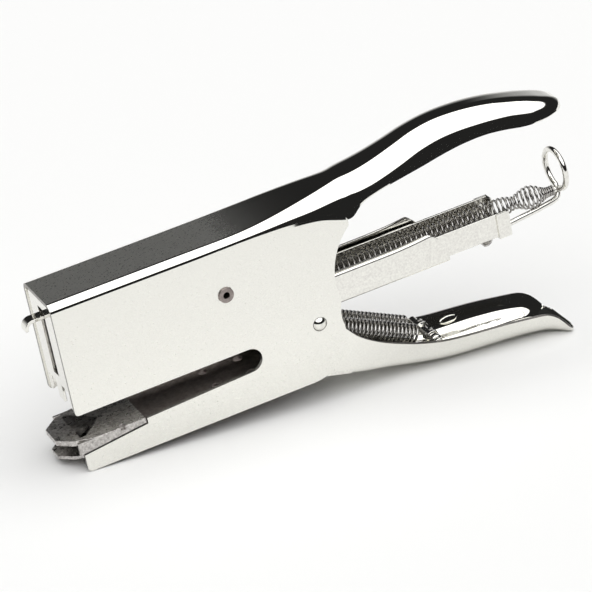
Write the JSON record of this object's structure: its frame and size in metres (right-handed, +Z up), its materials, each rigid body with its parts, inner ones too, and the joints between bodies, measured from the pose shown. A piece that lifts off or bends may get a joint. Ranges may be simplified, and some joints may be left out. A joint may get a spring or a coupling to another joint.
{
  "type": "plier stapler",
  "caption": "Hand-held plier stapler of plated sheet steel, with a deep throat, sprung lever and rear-loading magazine with a pull ring.",
  "frame": {"origin": "middle of the bounding box on the surface that the jaw heel and the lever's tail stand on", "axes": "+X from the jaws to the handles, +Y to the right-hand side plate, +Z up"},
  "size_m": [0.15, 0.0208, 0.0685],
  "materials": {
    "bright_nickel": "bright nickel plate on pressed sheet steel, near mirror",
    "satin_nickel": "dull nickel plate with faint press marks",
    "dark_steel": "darkened steel",
    "spring_steel": "drawn spring wire, slightly dull",
    "hardened_steel": "ground hardened steel",
    "galvanised_wire": "bright galvanised staple wire",
    "bright_wire": "bright plated wire"
  },
  "bodies": {
    "body": {"body_shell": "bright_nickel", "jaw_channel": "satin_nickel", "anvil_plate": "bright_nickel", "anvil_support": "satin_nickel", "front_plate": "bright_nickel", "pivot_rivet": "bright_nickel", "eyelet_rivet": "dark_steel", "spring_anchor_pin": "dark_steel"},
    "lever": {"lever": "bright_nickel", "drive_arm": "satin_nickel", "arm_rivets": "satin_nickel", "spring_pin": "satin_nickel", "return_spring_left": "spring_steel", "return_spring_right": "spring_steel"},
    "driver": {"driver_blade": "hardened_steel"},
    "magazine": {"magazine_channel": "bright_nickel", "magazine_bracket": "satin_nickel", "staple_rail": "satin_nickel", "end_clip": "bright_nickel", "rail_catch": "spring_steel", "staple_strip": "galvanised_wire"},
    "puller": {"puller_wire": "bright_wire", "feed_spring": "spring_steel"},
    "pusher": {"pusher": "dark_steel"}
  },
  "joints": [
    {"name": "lever_hinge", "type": "hinge", "parent": "body", "child": "lever", "pos_m": [-0.0005, 0, 0.02293], "axis": [0, -1, 0], "range_deg": [0, 13], "stiffness_Nm_per_rad": 1, "springref_deg": -17.19, "deforming": ["return_spring_left", "return_spring_right"]},
    {"name": "magazine_hinge", "type": "hinge", "parent": "body", "child": "magazine", "pos_m": [-0.0005, 0, 0.02293], "axis": [0, -1, 0], "range_deg": [0, 7.1]},
    {"name": "driver_slide", "type": "slide", "parent": "body", "child": "driver", "axis": [0.1123, 0, -0.9937], "range_m": [0, 0.0157]},
    {"name": "puller_slide", "type": "slide", "parent": "magazine", "child": "puller", "axis": [0.9937, 0, 0.1123], "range_m": [0, 0.06]},
    {"name": "pusher_slide", "type": "slide", "parent": "puller", "child": "pusher", "axis": [0.9937, 0, 0.1123], "range_m": [0, 0.012], "stiffness_N_per_m": 60, "springref_m": -0.02, "deforming": ["feed_spring"]}
  ],
  "couplings": [
    {"joint": "magazine_hinge", "follows": "lever_hinge", "ratio": 0.54},
    {"joint": "driver_slide", "follows": "lever_hinge", "m_per_rad": 0.0683}
  ]
}
